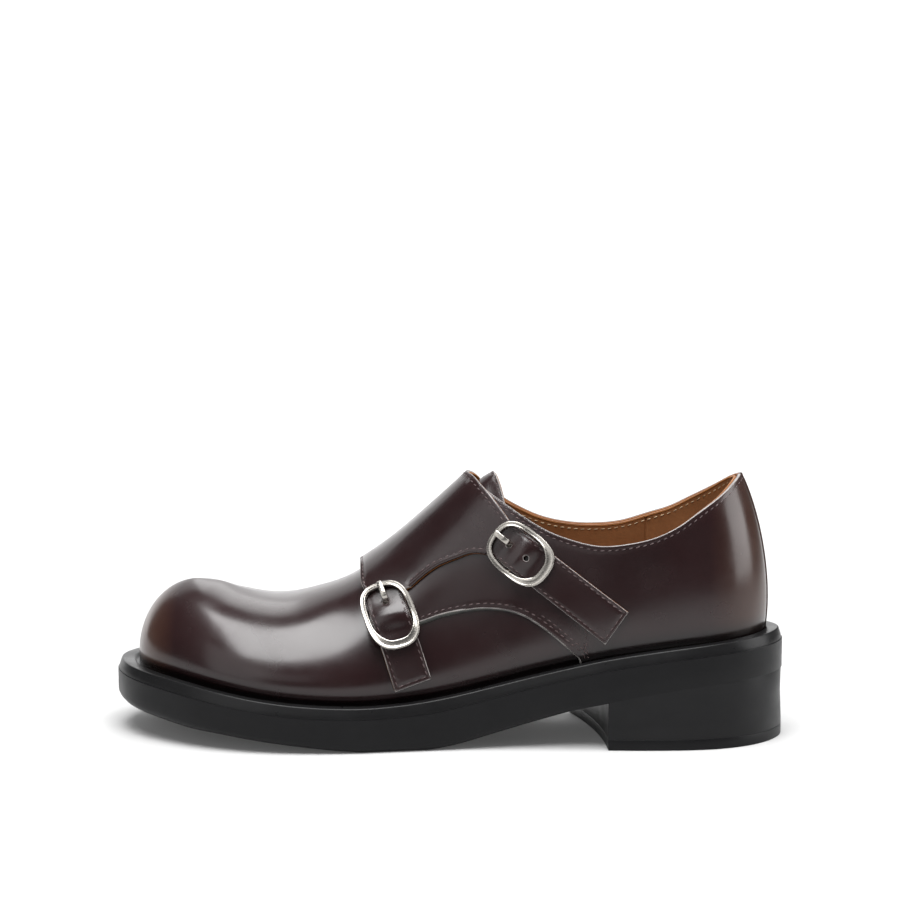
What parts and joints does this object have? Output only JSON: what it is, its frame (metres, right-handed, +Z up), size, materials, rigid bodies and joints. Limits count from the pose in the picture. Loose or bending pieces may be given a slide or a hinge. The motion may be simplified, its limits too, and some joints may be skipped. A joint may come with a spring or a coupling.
{
  "type": "double monk strap shoe",
  "caption": "Left low-cut leather shoe closed by buckled straps over the instep, on a thick rubber sole with a block heel.",
  "frame": {"origin": "on the floor, in the middle of the sole's length and width", "axes": "+Z up; the toe points to -X, the outer side with the buckles to -Y"},
  "size_m": [0.278, 0.1027, 0.109],
  "materials": {
    "outsole_rubber": "satin moulded black rubber",
    "heel_rubber": "satin moulded black rubber",
    "welt_rubber": "satin moulded black rubber",
    "tan_leather": "matt tan lining leather",
    "burgundy_leather": "polished dark burgundy-brown leather",
    "satin_steel": "satin"
  },
  "bodies": {
    "root": {"outsole": "outsole_rubber", "heel": "heel_rubber", "top_lift": "heel_rubber", "welt": "welt_rubber", "insole": "tan_leather", "upper": "burgundy_leather", "tongue": "burgundy_leather", "lateral_quarter": "burgundy_leather", "medial_quarter_flap": "burgundy_leather", "lower_buckle_frame": "satin_steel", "upper_buckle_frame": "satin_steel", "lower_buckle_prong": "satin_steel", "upper_buckle_prong": "satin_steel"}
  },
  "joints": []
}
